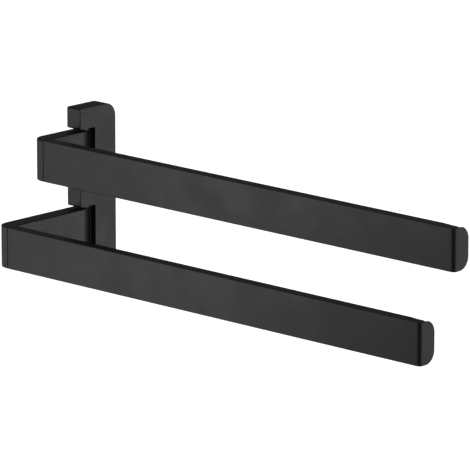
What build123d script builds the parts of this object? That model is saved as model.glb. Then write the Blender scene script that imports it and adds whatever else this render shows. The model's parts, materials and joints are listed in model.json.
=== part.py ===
from build123d import *
import os

# Twin swing-arm towel rack for a bathroom wall, in millimetres.
#
# Frame: the origin lies on the wall, midway between the two fixing screws.
# +X points out of the wall, +Z is up, and the hinge knuckles are on the -Y side.
# At rest both bars stand straight out from the wall.

# Hinge body: a plate with three knuckles on its -Y edge and one notch for each arm.
PLATE_THICK = 15.0
PLATE_WIDTH = 40.0
KNUCKLE_DEPTH = 16.4
END_KNUCKLE_HEIGHT = 17.4
MID_KNUCKLE_HEIGHT = 27.2
FAR_CORNER_RADIUS = 11.0
EDGE_RADIUS = 0.8
SHELL_WALL = 2.6
SHELL_FRONT = 3.0
SHELL_END = 3.0
POCKET_CORNER_RADIUS = 1.5

# Arms: a leg that lies along the wall, and a flat bar with a short lip at its far end.
ARM_HEIGHT = 33.5
ARM_GAP = 1.4
LEG_THICK = 14.2
WALL_GAP = 1.0
LEG_CORNER_RADIUS = 12.0
LEG_NOSE_LENGTH = 12.6
NOSE_TO_NOTCH = 1.4
UPPER_REACH = 41.8
LOWER_REACH = 82.0
UPPER_PROJECTION = 445.0
LOWER_PROJECTION = 447.6
BAR_THICK = 9.5
LIP_REACH = 16.8
LIP_THICK = 6.0
LIP_CORNER_RADIUS = 10.0
LIP_BEND_RADIUS = 3.0
LIP_INNER_RADIUS = 3.0
SEAM_CHAMFER = 0.5

# Joint between leg and bar: a tenon on the bar, held by a grub screw from below.
TENON_THICK = 5.0
TENON_HEIGHT = 24.0
TENON_LENGTH = 7.0
TENON_SCREW_X = 11.7

# Hinge pin, bushes and washers.
PIN_RADIUS = 4.0
PIN_TOP_COVER = 3.6
PIN_END_CHAMFER = 0.6
RUNNING_CLEARANCE = 0.04
BUSH_RADIUS = 5.0
BUSH_LENGTH = 13.0
FLANGE_RADIUS = 6.5
FLANGE_THICK = 0.9
WASHER_RADIUS = 6.5
WASHER_THICK = 0.4
PLUG_RADIUS = 5.5
PLUG_LENGTH = 5.0
PLUG_RECESS = 0.3

# Grub screws: radius, and the width across flats of the hexagon socket.
SMALL_SCREW_RADIUS = 2.0
SMALL_SOCKET = 2.0
LARGE_SCREW_RADIUS = 2.5
LARGE_SOCKET = 2.5
PLUG_SOCKET = 5.0
SCREW_RECESS = 0.4
SCREW_CHAMFER_SHARE = 0.15
SOCKET_DEPTH_SHARE = 0.5

# Wall fixing: a steel bracket, and two wood screws with washers.
BRACKET_THICK = 2.5
BRACKET_CLEARANCE = 0.5
BRACKET_TOP = 50.0
BRACKET_BOTTOM = -56.0
BRACKET_CORNER_RADIUS = 2.0
LEDGE_CLEARANCE = 1.0
FIXING_SPACING = 70.0
FIXING_HOLE_RADIUS = 2.75
HOOK_THICK = 4.0
HOOK_REACH = 7.5
HOOK_WIDTH = 12.0
FOOT_THICK = 6.0
FOOT_REACH = 8.5
SET_SCREW_X = 7.0
BOSS_SIZE = 8.5
BOSS_HEIGHT = 3.0
FIXING_NECK_RADIUS = 2.5
FIXING_NECK_LENGTH = 4.5
FIXING_SHANK_RADIUS = 2.2
FIXING_LENGTH = 30.0
FIXING_TIP = 5.0
FIXING_HEAD_RADIUS = 4.6
FIXING_HEAD_HEIGHT = 3.2
FIXING_WASHER_RADIUS = 6.0
FIXING_WASHER_THICK = 1.0

# Pan head of a wall screw: shares of the head's radius and height, and its cross recess.
HEAD_FLAT_SHARE = 0.45
HEAD_SHOULDER_RADIUS_SHARE = 0.86
HEAD_SHOULDER_HEIGHT_SHARE = 0.72
HEAD_RIM_SHARE = 0.2
CROSS_LENGTH = 4.4
CROSS_WIDTH = 1.1
CROSS_DEPTH = 2.0

# How far a cut runs past the face it starts from.
OVERCUT = 1.0

# Sizes that follow from the ones above.
NOTCH_HEIGHT = ARM_HEIGHT + 2 * ARM_GAP
PLATE_HEIGHT = 2 * END_KNUCKLE_HEIGHT + MID_KNUCKLE_HEIGHT + 2 * NOTCH_HEIGHT
POCKET_WIDTH = PLATE_WIDTH - KNUCKLE_DEPTH - 2 * SHELL_WALL
FAR_Y = POCKET_WIDTH / 2 + SHELL_WALL
NEAR_Y = FAR_Y - PLATE_WIDTH
TOP_Z = PLATE_HEIGHT / 2
BOTTOM_Z = -PLATE_HEIGHT / 2
ARM_PITCH = MID_KNUCKLE_HEIGHT + NOTCH_HEIGHT
UPPER_Z = ARM_PITCH / 2
LOWER_Z = -ARM_PITCH / 2
LEG_BACK = WALL_GAP
LEG_FRONT = WALL_GAP + LEG_THICK
AXIS_X = WALL_GAP + LEG_THICK / 2
AXIS_Y = NEAR_Y + KNUCKLE_DEPTH / 2
POCKET_SIDE = POCKET_WIDTH / 2
POCKET_DEPTH = PLATE_THICK - SHELL_FRONT
POCKET_HEIGHT = PLATE_HEIGHT - 2 * SHELL_END


def slab(x0, x1, y0, y1, z0, z1):
    """A box between two corners."""
    size = Box(x1 - x0, y1 - y0, z1 - z0)
    return Pos((x0 + x1) / 2, (y0 + y1) / 2, (z0 + z1) / 2) * size


def upright(radius, z0, z1, x=AXIS_X, y=AXIS_Y):
    """A cylinder along Z, on the hinge axis unless x and y say otherwise."""
    return Pos(x, y, (z0 + z1) / 2) * Cylinder(radius, z1 - z0)


def outward(radius, x0, x1, y, z):
    """A cylinder along X."""
    return Pos((x0 + x1) / 2, y, z) * Rot(0, 90, 0) * Cylinder(radius, x1 - x0)


def ring(outer, inner, z0, z1):
    """A flat ring round the hinge axis."""
    return upright(outer, z0, z1) - upright(inner, z0, z1)


def hexagon(across_flats, z0, z1):
    """A hexagonal prism along Z, centred on X = Y = 0."""
    prism = extrude(RegularPolygon(across_flats / 2, 6, major_radius=False), z1 - z0)
    return Pos(0, 0, z0) * prism


def grub_screw(radius, length, socket):
    """A headless screw along +Z from Z = 0, with its hexagon socket at Z = 0."""
    screw = Pos(0, 0, length / 2) * Cylinder(radius, length)
    screw = chamfer(screw.edges(), SCREW_CHAMFER_SHARE * radius)
    return screw - hexagon(socket, 0, SOCKET_DEPTH_SHARE * length)


def nearest_upright(shape, x, y):
    """The upright edge of a shape that stands closest to a point in plan."""
    def distance(edge):
        return abs(edge.center().X - x) + abs(edge.center().Y - y)
    return shape.edges().filter_by(Axis.Z).sort_by(distance)[0]


def notch(middle_z):
    """The space that one arm's leg needs in the knuckle edge of the hinge body."""
    low = middle_z - NOTCH_HEIGHT / 2
    high = middle_z + NOTCH_HEIGHT / 2
    return slab(-OVERCUT, PLATE_THICK + OVERCUT, NEAR_Y - OVERCUT, NEAR_Y + KNUCKLE_DEPTH, low, high)


def fixing_pocket():
    """The hollow in the back of the hinge body that takes the wall bracket."""
    half = POCKET_HEIGHT / 2
    pocket = slab(-OVERCUT, POCKET_DEPTH, -POCKET_SIDE, POCKET_SIDE, -half, half)
    far_corners = pocket.edges().filter_by(Axis.X).sort_by(Axis.Y)[-2:]
    pocket = fillet(far_corners, FAR_CORNER_RADIUS - SHELL_WALL)
    near_corners = pocket.edges().filter_by(Axis.X).sort_by(Axis.Y)[:2]
    return fillet(near_corners, POCKET_CORNER_RADIUS)


def hinge_body():
    """Cast plate and knuckles in one piece, hollow behind, with all its bores."""
    body = slab(0, PLATE_THICK, NEAR_Y, FAR_Y, BOTTOM_Z, TOP_Z)
    body = fillet(body.edges().filter_by(Axis.X).sort_by(Axis.Y)[-2:], FAR_CORNER_RADIUS)
    body = body - notch(UPPER_Z) - notch(LOWER_Z)
    body = fillet(body.faces().sort_by(Axis.X)[-1].edges(), EDGE_RADIUS)
    body -= fixing_pocket()
    # A ledge hangs on the bracket's hook; a boss carries the set screw.
    ledge_x = BRACKET_THICK + LEDGE_CLEARANCE
    ledge_top = BRACKET_TOP + HOOK_THICK
    body += slab(ledge_x, POCKET_DEPTH, -POCKET_SIDE, POCKET_SIDE, BRACKET_TOP, ledge_top)
    boss_floor = BOTTOM_Z + SHELL_END
    boss_top = boss_floor + BOSS_HEIGHT
    boss_side = BOSS_SIZE / 2
    body += slab(SET_SCREW_X - boss_side, POCKET_DEPTH, -boss_side, boss_side, boss_floor, boss_top)
    body -= upright(LARGE_SCREW_RADIUS, BOTTOM_Z - OVERCUT, boss_top, SET_SCREW_X, 0)
    # The pin's bore is blind at the top and opens at the bottom into the plug's wider bore.
    body -= upright(PIN_RADIUS, BOTTOM_Z - OVERCUT, TOP_Z - PIN_TOP_COVER)
    body -= upright(PLUG_RADIUS, BOTTOM_Z - OVERCUT, BOTTOM_Z + PLUG_RECESS + PLUG_LENGTH)
    return body - outward(SMALL_SCREW_RADIUS, -OVERCUT, AXIS_X - PIN_RADIUS / 2, AXIS_Y, 0)


def hinge_pin():
    """One pin through all three knuckles and both arms."""
    pin = upright(PIN_RADIUS, BOTTOM_Z + PLUG_RECESS + PLUG_LENGTH, TOP_Z - PIN_TOP_COVER)
    return chamfer(pin.edges().filter_by(GeomType.CIRCLE), PIN_END_CHAMFER)


def pin_end_plug():
    """Threaded plug that closes the pin's bore at the bottom."""
    plug = grub_screw(PLUG_RADIUS, PLUG_LENGTH, PLUG_SOCKET)
    return Pos(AXIS_X, AXIS_Y, BOTTOM_Z + PLUG_RECESS) * plug


def pin_lock_screw():
    """Grub screw from the wall side that grips the pin in the middle knuckle."""
    length = AXIS_X - PIN_RADIUS - SCREW_RECESS
    screw = grub_screw(SMALL_SCREW_RADIUS, length, SMALL_SOCKET)
    return Pos(SCREW_RECESS, AXIS_Y, 0) * Rot(0, 90, 0) * screw


def body_set_screw():
    """Grub screw from below that presses on the bracket's foot."""
    start = BOTTOM_Z + SCREW_RECESS
    screw = grub_screw(LARGE_SCREW_RADIUS, BRACKET_BOTTOM - start, LARGE_SOCKET)
    return Pos(SET_SCREW_X, 0, start) * screw


def wall_bracket():
    """Steel plate screwed to the wall, with a hook at the top and a foot at the bottom."""
    half_width = POCKET_SIDE - BRACKET_CLEARANCE
    plate = slab(0, BRACKET_THICK, -half_width, half_width, BRACKET_BOTTOM, BRACKET_TOP)
    plate = fillet(plate.edges().filter_by(Axis.X), BRACKET_CORNER_RADIUS)
    side = HOOK_WIDTH / 2
    hook_low = BRACKET_TOP - HOOK_THICK
    hook = slab(0, BRACKET_THICK + HOOK_REACH, -side, side, hook_low, BRACKET_TOP)
    foot_high = BRACKET_BOTTOM + FOOT_THICK
    foot = slab(0, BRACKET_THICK + FOOT_REACH, -side, side, BRACKET_BOTTOM, foot_high)
    bracket = plate + hook + foot
    for z in fixing_heights():
        bracket -= outward(FIXING_HOLE_RADIUS, -OVERCUT, BRACKET_THICK + OVERCUT, 0, z)
    return bracket


def fixing_heights():
    """Heights of the two wall screws."""
    return [-FIXING_SPACING / 2, FIXING_SPACING / 2]


def fixing_washers():
    """One flat washer under each screw head."""
    washers = []
    end = BRACKET_THICK + FIXING_WASHER_THICK
    for z in fixing_heights():
        disc = outward(FIXING_WASHER_RADIUS, BRACKET_THICK, end, 0, z)
        washers.append(disc - outward(FIXING_HOLE_RADIUS, 0, end + OVERCUT, 0, z))
    return Compound(children=washers)


def fixing_screw():
    """A pan-head wood screw along -Z, with the underside of its head at Z = 0."""
    flat_edge = (HEAD_FLAT_SHARE * FIXING_HEAD_RADIUS, FIXING_HEAD_HEIGHT)
    shoulder_radius = HEAD_SHOULDER_RADIUS_SHARE * FIXING_HEAD_RADIUS
    shoulder = (shoulder_radius, HEAD_SHOULDER_HEIGHT_SHARE * FIXING_HEAD_HEIGHT)
    rim_top = (FIXING_HEAD_RADIUS, HEAD_RIM_SHARE * FIXING_HEAD_HEIGHT)
    rim_foot = (FIXING_HEAD_RADIUS, 0)
    neck_top = (FIXING_NECK_RADIUS, 0)
    neck_foot = (FIXING_NECK_RADIUS, -FIXING_NECK_LENGTH)
    shank_top = (FIXING_SHANK_RADIUS, -FIXING_NECK_LENGTH)
    shank_foot = (FIXING_SHANK_RADIUS, FIXING_TIP - FIXING_LENGTH)
    tip = (0, -FIXING_LENGTH)
    crown = (0, FIXING_HEAD_HEIGHT)
    with BuildPart() as screw:
        with BuildSketch(Plane.XZ):
            with BuildLine():
                Line(crown, flat_edge)
                ThreePointArc(flat_edge, shoulder, rim_top)
                Polyline(rim_top, rim_foot, neck_top, neck_foot, shank_top, shank_foot, tip, crown)
            make_face()
        revolve(axis=Axis.Z)
    cross = Box(CROSS_LENGTH, CROSS_WIDTH, 2 * CROSS_DEPTH)
    cross += Box(CROSS_WIDTH, CROSS_LENGTH, 2 * CROSS_DEPTH)
    return screw.part - Pos(0, 0, FIXING_HEAD_HEIGHT) * cross


def fixing_screws():
    """The two wall screws."""
    head_x = BRACKET_THICK + FIXING_WASHER_THICK
    screw = fixing_screw()
    return Compound(children=[Pos(head_x, 0, z) * Rot(0, 90, 0) * screw for z in fixing_heights()])


def arm_bottom(middle_z):
    """Height of an arm's underside."""
    return middle_z - ARM_HEIGHT / 2


def bar_front(reach):
    """Y of the outer face of the bar of an arm with this reach."""
    return NEAR_Y - reach


def leg_outline(reach):
    """Plan of a leg: a rounded outer corner, and an elliptical nose round the hinge pin."""
    end = bar_front(reach)
    nose_tip = NEAR_Y + KNUCKLE_DEPTH - NOSE_TO_NOTCH
    nose_start = nose_tip - LEG_NOSE_LENGTH
    corner = LEG_BACK + LEG_CORNER_RADIUS
    with BuildSketch() as plan:
        with BuildLine():
            RadiusArc((LEG_BACK, end + LEG_CORNER_RADIUS), (corner, end), -LEG_CORNER_RADIUS)
            Polyline((corner, end), (LEG_FRONT, end), (LEG_FRONT, nose_start))
            EllipticalCenterArc((AXIS_X, nose_start), LEG_THICK / 2, LEG_NOSE_LENGTH, arc_size=180)
            Line((LEG_BACK, nose_start), (LEG_BACK, end + LEG_CORNER_RADIUS))
        make_face()
    return plan.sketch


def arm_leg(reach, middle_z):
    """The leg of an arm, with the bush bore, the socket for the bar and its screw hole."""
    low = arm_bottom(middle_z)
    leg = extrude(Pos(0, 0, low) * leg_outline(reach), ARM_HEIGHT)
    rims = leg.faces().sort_by(Axis.Z)[0].edges() + leg.faces().sort_by(Axis.Z)[-1].edges()
    leg = chamfer(rims, SEAM_CHAMFER)
    leg = chamfer(nearest_upright(leg, LEG_FRONT, bar_front(reach)), SEAM_CHAMFER)
    leg -= upright(BUSH_RADIUS, low - OVERCUT, low + ARM_HEIGHT + OVERCUT)
    leg -= tenon(reach, middle_z)
    screw_y = bar_front(reach) + BAR_THICK / 2
    return leg - upright(LARGE_SCREW_RADIUS, low - OVERCUT, middle_z, TENON_SCREW_X, screw_y)


def tenon(reach, middle_z):
    """The part of the bar that sits inside the leg."""
    middle_y = bar_front(reach) + BAR_THICK / 2
    middle = Pos(LEG_FRONT - TENON_LENGTH / 2, middle_y, middle_z)
    return middle * Box(TENON_LENGTH, TENON_THICK, TENON_HEIGHT)


def lip_corner_cut(reach, projection, middle_z, side):
    """What is cut away to round a lip's free corner: the upper one for side 1, the lower for -1."""
    start_x = projection - LIP_THICK - LIP_INNER_RADIUS
    end_x = projection + OVERCUT
    centre_y = bar_front(reach) + LIP_REACH - LIP_CORNER_RADIUS
    centre_z = middle_z + side * (ARM_HEIGHT / 2 - LIP_CORNER_RADIUS)
    far_y = centre_y + LIP_CORNER_RADIUS + OVERCUT
    far_z = centre_z + side * (LIP_CORNER_RADIUS + OVERCUT)
    corner = slab(start_x, end_x, centre_y, far_y, min(centre_z, far_z), max(centre_z, far_z))
    return corner - outward(LIP_CORNER_RADIUS, start_x - OVERCUT, end_x + OVERCUT, centre_y, centre_z)


def arm_bar(reach, projection, middle_z):
    """The flat bar of an arm, with its tenon and the lip that keeps a towel on."""
    front = bar_front(reach)
    low = arm_bottom(middle_z)
    high = low + ARM_HEIGHT
    bar = slab(LEG_FRONT, projection, front, front + BAR_THICK, low, high)
    bar += slab(projection - LIP_THICK, projection, front, front + LIP_REACH, low, high)
    bar = fillet(nearest_upright(bar, projection, front), LIP_BEND_RADIUS)
    inner_bend = nearest_upright(bar, projection - LIP_THICK, front + BAR_THICK)
    bar = fillet(inner_bend, LIP_INNER_RADIUS)
    bar -= lip_corner_cut(reach, projection, middle_z, 1)
    bar -= lip_corner_cut(reach, projection, middle_z, -1)
    root_face = bar.faces().sort_by(Axis.X)[0]
    bar = chamfer(root_face.edges(), SEAM_CHAMFER)
    return bar + tenon(reach, middle_z)


def bar_set_screw(reach, middle_z):
    """Grub screw in the underside of the leg that holds the bar's tenon."""
    start = arm_bottom(middle_z) + SCREW_RECESS
    length = middle_z - TENON_HEIGHT / 2 - start
    screw = grub_screw(LARGE_SCREW_RADIUS, length, LARGE_SOCKET)
    return Pos(TENON_SCREW_X, bar_front(reach) + BAR_THICK / 2, start) * screw


def bush(face_z, direction):
    """A flanged bush pressed into a leg; its flange lies on the leg's face at face_z."""
    flange_end = face_z + direction * FLANGE_THICK
    sleeve_end = face_z - direction * BUSH_LENGTH
    outer = upright(FLANGE_RADIUS, min(face_z, flange_end), max(face_z, flange_end))
    outer += upright(BUSH_RADIUS, min(face_z, sleeve_end), max(face_z, sleeve_end))
    low = min(flange_end, sleeve_end) - OVERCUT
    high = max(flange_end, sleeve_end) + OVERCUT
    return outer - upright(PIN_RADIUS + RUNNING_CLEARANCE, low, high)


def washer(face_z, direction):
    """A washer on the pin, lying on the knuckle's face at face_z."""
    end = face_z + direction * WASHER_THICK
    return ring(WASHER_RADIUS, PIN_RADIUS + RUNNING_CLEARANCE, min(face_z, end), max(face_z, end))


def arm_parts(side, reach, projection, middle_z):
    """All the pieces of one arm, by node name."""
    top = middle_z + ARM_HEIGHT / 2
    bottom = middle_z - ARM_HEIGHT / 2
    return {
        side + "_arm_leg": arm_leg(reach, middle_z),
        side + "_arm_bar": arm_bar(reach, projection, middle_z),
        side + "_bar_set_screw": bar_set_screw(reach, middle_z),
        side + "_top_bush": bush(top, 1),
        side + "_bottom_bush": bush(bottom, -1),
        side + "_friction_washer": washer(top + ARM_GAP, -1),
        side + "_thrust_washer": washer(bottom - ARM_GAP, 1),
    }


def all_parts():
    """Every piece of the rack, by node name."""
    parts = {
        "hinge_body": hinge_body(),
        "hinge_pin": hinge_pin(),
        "pin_end_plug": pin_end_plug(),
        "pin_lock_screw": pin_lock_screw(),
        "body_set_screw": body_set_screw(),
        "wall_bracket": wall_bracket(),
        "fixing_screws": fixing_screws(),
        "fixing_washers": fixing_washers(),
    }
    parts.update(arm_parts("upper", UPPER_REACH, UPPER_PROJECTION, UPPER_Z))
    parts.update(arm_parts("lower", LOWER_REACH, LOWER_PROJECTION, LOWER_Z))
    return parts


os.makedirs("parts", exist_ok=True)
for node, shape in all_parts().items():
    export_step(shape, "parts/" + node + ".step")
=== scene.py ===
"""Visual model of a wall-mounted towel rack with two swing arms, in satin black.

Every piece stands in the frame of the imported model: the origin is on the wall midway
between the two fixing screws, +X points out of the wall, +Z is up, and the hinge
knuckles are on the -Y side. Sizes in the classes are millimetres, as on a drawing, and
each finished mesh is metres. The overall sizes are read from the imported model's nodes.
"""

import json
import logging
import math
from abc import ABC, abstractmethod
from dataclasses import dataclass, field
from enum import Enum

import bmesh
import bpy
import numpy as np
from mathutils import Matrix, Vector


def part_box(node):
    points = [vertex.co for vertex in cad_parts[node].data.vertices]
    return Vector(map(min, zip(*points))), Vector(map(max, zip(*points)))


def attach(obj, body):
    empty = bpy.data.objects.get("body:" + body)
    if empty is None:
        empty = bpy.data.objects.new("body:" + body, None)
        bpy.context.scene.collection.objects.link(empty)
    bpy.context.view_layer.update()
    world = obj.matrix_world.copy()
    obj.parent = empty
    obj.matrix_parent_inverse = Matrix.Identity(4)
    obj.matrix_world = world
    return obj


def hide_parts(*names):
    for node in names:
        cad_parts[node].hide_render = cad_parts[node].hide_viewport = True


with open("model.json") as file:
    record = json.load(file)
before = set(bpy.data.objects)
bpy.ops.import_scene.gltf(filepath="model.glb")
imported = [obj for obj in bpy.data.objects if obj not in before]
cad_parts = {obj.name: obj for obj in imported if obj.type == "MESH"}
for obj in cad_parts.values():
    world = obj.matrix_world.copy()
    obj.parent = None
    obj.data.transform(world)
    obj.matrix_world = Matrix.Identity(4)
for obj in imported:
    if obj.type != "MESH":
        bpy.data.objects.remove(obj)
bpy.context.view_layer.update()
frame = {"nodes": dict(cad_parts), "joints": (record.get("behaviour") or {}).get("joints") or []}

METRES_PER_MM = 0.001
WELD_DISTANCE = 1e-7
SHARP_ANGLE = math.radians(38)
QUARTER_TURN = math.pi / 2
TURN_STEPS = 96
CUTTER_OVERRUN = 0.5

log = logging.getLogger("towel_rack")


class Body(Enum):
    """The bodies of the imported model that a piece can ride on."""

    WALL_UNIT = "wall_unit"
    UPPER_ARM = "upper_arm"
    LOWER_ARM = "lower_arm"


class Slot(Enum):
    """The material slots that the record names."""

    SATIN_BLACK = "satin_black"
    GROUND_STEEL = "ground_steel"
    ZINC_PLATE = "zinc_plate"
    BLACK_OXIDE = "black_oxide"
    BUSH_POLYMER = "bush_polymer"
    SPRING_STEEL = "spring_steel"
    WASHER_POLYMER = "washer_polymer"


class Facing(Enum):
    """Which way a bush's flange faces."""

    UP = 1.0
    DOWN = -1.0


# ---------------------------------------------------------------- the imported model


def node_box(node: str) -> tuple[list[float], list[float]]:
    """The box of a CAD node, in millimetres to the nearest micrometre.

    Args:
        node: Name of the node.

    Returns:
        X, Y and Z of its lowest corner, and of its highest.
    """
    low, high = np.round(np.array(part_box(node)) / METRES_PER_MM, 3).tolist()
    return low, high


def joint_place(name: str) -> list[float]:
    """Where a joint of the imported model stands, in millimetres to the nearest micrometre.

    Args:
        name: Name of the joint.

    Returns:
        X, Y and Z.
    """
    places = {joint["name"]: joint["pos_m"] for joint in frame["joints"]}
    return np.round(np.array(places[name]) / METRES_PER_MM, 3).tolist()


# ---------------------------------------------------------------- surfaces


@dataclass
class Shell:
    """One closed surface: its points in millimetres, and its faces as point numbers."""

    points: np.ndarray
    faces: list[list[int]]

    def moved(self, x: float = 0.0, y: float = 0.0, z: float = 0.0) -> "Shell":
        """The same shell, shifted by x, y and z."""
        return Shell(self.points + np.array([x, y, z]), self.faces)

    def laid_along_x(self) -> "Shell":
        """The same shell, turned so that what pointed along +Z points along +X."""
        return Shell(self.points[:, [2, 1, 0]] * np.array([1.0, -1.0, 1.0]), self.faces)

    def hung_on_wall(self) -> "Shell":
        """The same shell, turned so that its plan's X and Y are Y and Z, and its Z is X."""
        return Shell(self.points[:, [2, 0, 1]], self.faces)

    def joined(self, other: "Shell") -> "Shell":
        """Both shells as one, with neither touched.

        Args:
            other: The shell to add.

        Returns:
            A new shell.
        """
        count = len(self.points)
        shifted = [[corner + count for corner in face] for face in other.faces]
        return Shell(np.vstack([self.points, other.points]), self.faces + shifted)

    def mesh(self, name: str) -> bpy.types.Mesh:
        """A Blender mesh of this shell, in metres, welded and with its faces outwards.

        Args:
            name: Name of the mesh.

        Returns:
            The new mesh.
        """
        data = bpy.data.meshes.new(name)
        data.from_pydata((self.points * METRES_PER_MM).tolist(), [], self.faces)
        tidy(data)
        return data


def tidy(data: bpy.types.Mesh) -> None:
    """Weld a mesh's doubles, drop faces without area, and turn its faces outwards.

    Args:
        data: The mesh, changed in place.
    """
    work = bmesh.new()
    work.from_mesh(data)
    bmesh.ops.remove_doubles(work, verts=work.verts, dist=WELD_DISTANCE)
    bmesh.ops.dissolve_degenerate(work, edges=work.edges, dist=WELD_DISTANCE)
    bmesh.ops.recalc_face_normals(work, faces=work.faces)
    work.to_mesh(data)
    work.free()
    data.update()


def quads_between(rows: int, columns: int) -> np.ndarray:
    """Faces of a sheet whose columns close into a loop.

    Corner (row, column) has the number row * columns + column; each face joins it to the
    next column and the next row, and the last column is followed by the first.

    Args:
        rows: Number of rings.
        columns: Number of points on each ring.

    Returns:
        An array of shape (faces, 4).
    """
    row, column = np.meshgrid(np.arange(rows - 1), np.arange(columns), indexing="ij")
    here = row * columns + column
    beside = row * columns + (column + 1) % columns
    return np.stack([here, beside, beside + columns, here + columns], axis=-1).reshape(-1, 4)


def loft(rings: np.ndarray) -> Shell:
    """A closed surface through a stack of rings, with a flat face over each end.

    Args:
        rings: Points of shape (rings, points on a ring, 3), in millimetres.

    Returns:
        The shell.
    """
    rows, columns = rings.shape[:2]
    faces = quads_between(rows, columns).tolist()
    first = list(range(columns))
    last = [(rows - 1) * columns + column for column in range(columns)]
    return Shell(rings.reshape(-1, 3), faces + [first[::-1], last])


def angles_round(turns: int) -> np.ndarray:
    """The angle of each of these equal steps round a full turn."""
    return np.linspace(0.0, 2.0 * np.pi, turns, endpoint=False)


def rings_about_z(radii: np.ndarray, heights: np.ndarray, turns: int) -> np.ndarray:
    """Rings about the Z axis: radius times (cos, sin) of the angle, at a height.

    Args:
        radii: Radius of each ring, of shape (rings,), or of each point, (rings, turns).
        heights: Height of each ring or of each point, in the same way.
        turns: Points on each ring.

    Returns:
        Points of shape (rings, turns, 3).
    """
    angle = angles_round(turns)
    radius = radii[:, None] * np.ones(turns) if radii.ndim == 1 else radii
    height = heights[:, None] * np.ones(turns) if heights.ndim == 1 else heights
    return np.stack([radius * np.cos(angle), radius * np.sin(angle), height], axis=-1)


def turned(radii: np.ndarray, heights: np.ndarray, turns: int = TURN_STEPS) -> Shell:
    """A solid turned about the Z axis from its profile, with flat ends.

    Args:
        radii: Radius of each ring or of each point, as for rings_about_z.
        heights: Height of each ring or of each point.
        turns: Points on each ring.

    Returns:
        The shell.
    """
    return loft(rings_about_z(radii, heights, turns))


def turned_ring(section: np.ndarray, wave: np.ndarray | None = None) -> Shell:
    """A ring turned about the Z axis from a closed section.

    The section's points run round once; the surface closes in both directions.

    Args:
        section: Radius and height of each point, of shape (points, 2).
        wave: Height added at each step round the axis, or None for a flat ring.

    Returns:
        The shell.
    """
    turns = TURN_STEPS if wave is None else wave.size
    lift = np.zeros(turns) if wave is None else wave
    points = rings_about_z(section[:, 0], section[:, 1:] + lift, turns)
    rows = len(section)
    faces = quads_between(rows + 1, turns) % (rows * turns)
    return Shell(points.reshape(-1, 3), faces.tolist())


def cut_corners(section: np.ndarray, size: float) -> np.ndarray:
    """A section with every corner cut off.

    Each corner is replaced by two points, one towards each neighbour, at the stated
    distance or a third of the side, whichever is less.

    Args:
        section: Corners of the section, of shape (corners, 2).
        size: Distance of each cut from its corner.

    Returns:
        Corners of the new section, twice as many.
    """
    before = np.roll(section, 1, axis=0) - section
    after = np.roll(section, -1, axis=0) - section
    length_before = np.linalg.norm(before, axis=1, keepdims=True)
    length_after = np.linalg.norm(after, axis=1, keepdims=True)
    first = section + before / length_before * np.minimum(size, length_before / 3)
    second = section + after / length_after * np.minimum(size, length_after / 3)
    return np.stack([first, second], axis=1).reshape(-1, 2)


def arc(
    centre: tuple[float, float], half_axes: tuple[float, float], start: float, end: float, steps: int
) -> np.ndarray:
    """Points round part of an ellipse: the centre plus the half axes times (cos, sin).

    Args:
        centre: X and Y of its centre.
        half_axes: Its half axes along X and Y.
        start: Angle of the first point.
        end: Angle of the last point.
        steps: Steps from the first to the last.

    Returns:
        Points of shape (steps + 1, 2).
    """
    angle = np.linspace(start, end, steps + 1)
    x = centre[0] + half_axes[0] * np.cos(angle)
    return np.stack([x, centre[1] + half_axes[1] * np.sin(angle)], axis=1)


def rounded_outline(corners: np.ndarray, radii: np.ndarray, steps: int = 10) -> np.ndarray:
    """A closed outline with a round arc at each of its square corners.

    With d1 the direction into a corner and d2 the direction out of it, the arc's centre is
    the corner less radius times d1 plus radius times d2, and its points are the centre
    less radius cos(a) d2 plus radius sin(a) d1, for a from 0 to a quarter turn.

    Args:
        corners: Corners in order, of shape (corners, 2), with square turns between them.
        radii: Radius of each corner, of shape (corners,).
        steps: Arc steps at each corner.

    Returns:
        The outline's points, of shape (corners * (steps + 1), 2).
    """
    into = corners - np.roll(corners, 1, axis=0)
    into = into / np.linalg.norm(into, axis=1, keepdims=True)
    out = np.roll(into, -1, axis=0)
    radius = radii[:, None]
    centre = corners - radius * into + radius * out
    angle = np.linspace(0.0, QUARTER_TURN, steps + 1)[None, :, None]
    reach = radius[:, None, :]
    points = centre[:, None, :] - reach * np.cos(angle) * out[:, None, :]
    points = points + reach * np.sin(angle) * into[:, None, :]
    return points.reshape(-1, 2)


def inset_outline(outline: np.ndarray, amount: float) -> np.ndarray:
    """A closed outline moved inwards by the same distance everywhere.

    Each point moves along the sum of its two sides' inward normals, divided by one plus
    their dot product, so that every side stays parallel to itself.

    Args:
        outline: Points in order, of shape (points, 2).
        amount: Distance inwards; a negative one moves outwards.

    Returns:
        The new outline, with the same number of points.
    """
    ahead = np.roll(outline, -1, axis=0)
    twice_area = np.sum(outline[:, 0] * ahead[:, 1] - outline[:, 1] * ahead[:, 0])
    side = ahead - outline
    side = side / np.linalg.norm(side, axis=1, keepdims=True)
    inward = np.stack([-side[:, 1], side[:, 0]], axis=1) * np.sign(twice_area)
    previous = np.roll(inward, 1, axis=0)
    share = 1.0 + np.sum(inward * previous, axis=1, keepdims=True)
    return outline + amount * (inward + previous) / share


def rim_arc(radius: float, steps: int) -> np.ndarray:
    """A quarter circle that rounds an edge, from the side it starts on to the other.

    At the angle a, a point stands radius (1 - sin a) in from one face and
    radius (1 - cos a) in from the other.

    Args:
        radius: Radius of the edge.
        steps: Steps along it.

    Returns:
        The two distances of each point, of shape (steps + 1, 2).
    """
    angle = np.linspace(0.0, QUARTER_TURN, steps + 1)
    return radius * np.stack([1.0 - np.sin(angle), 1.0 - np.cos(angle)], axis=1)


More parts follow.
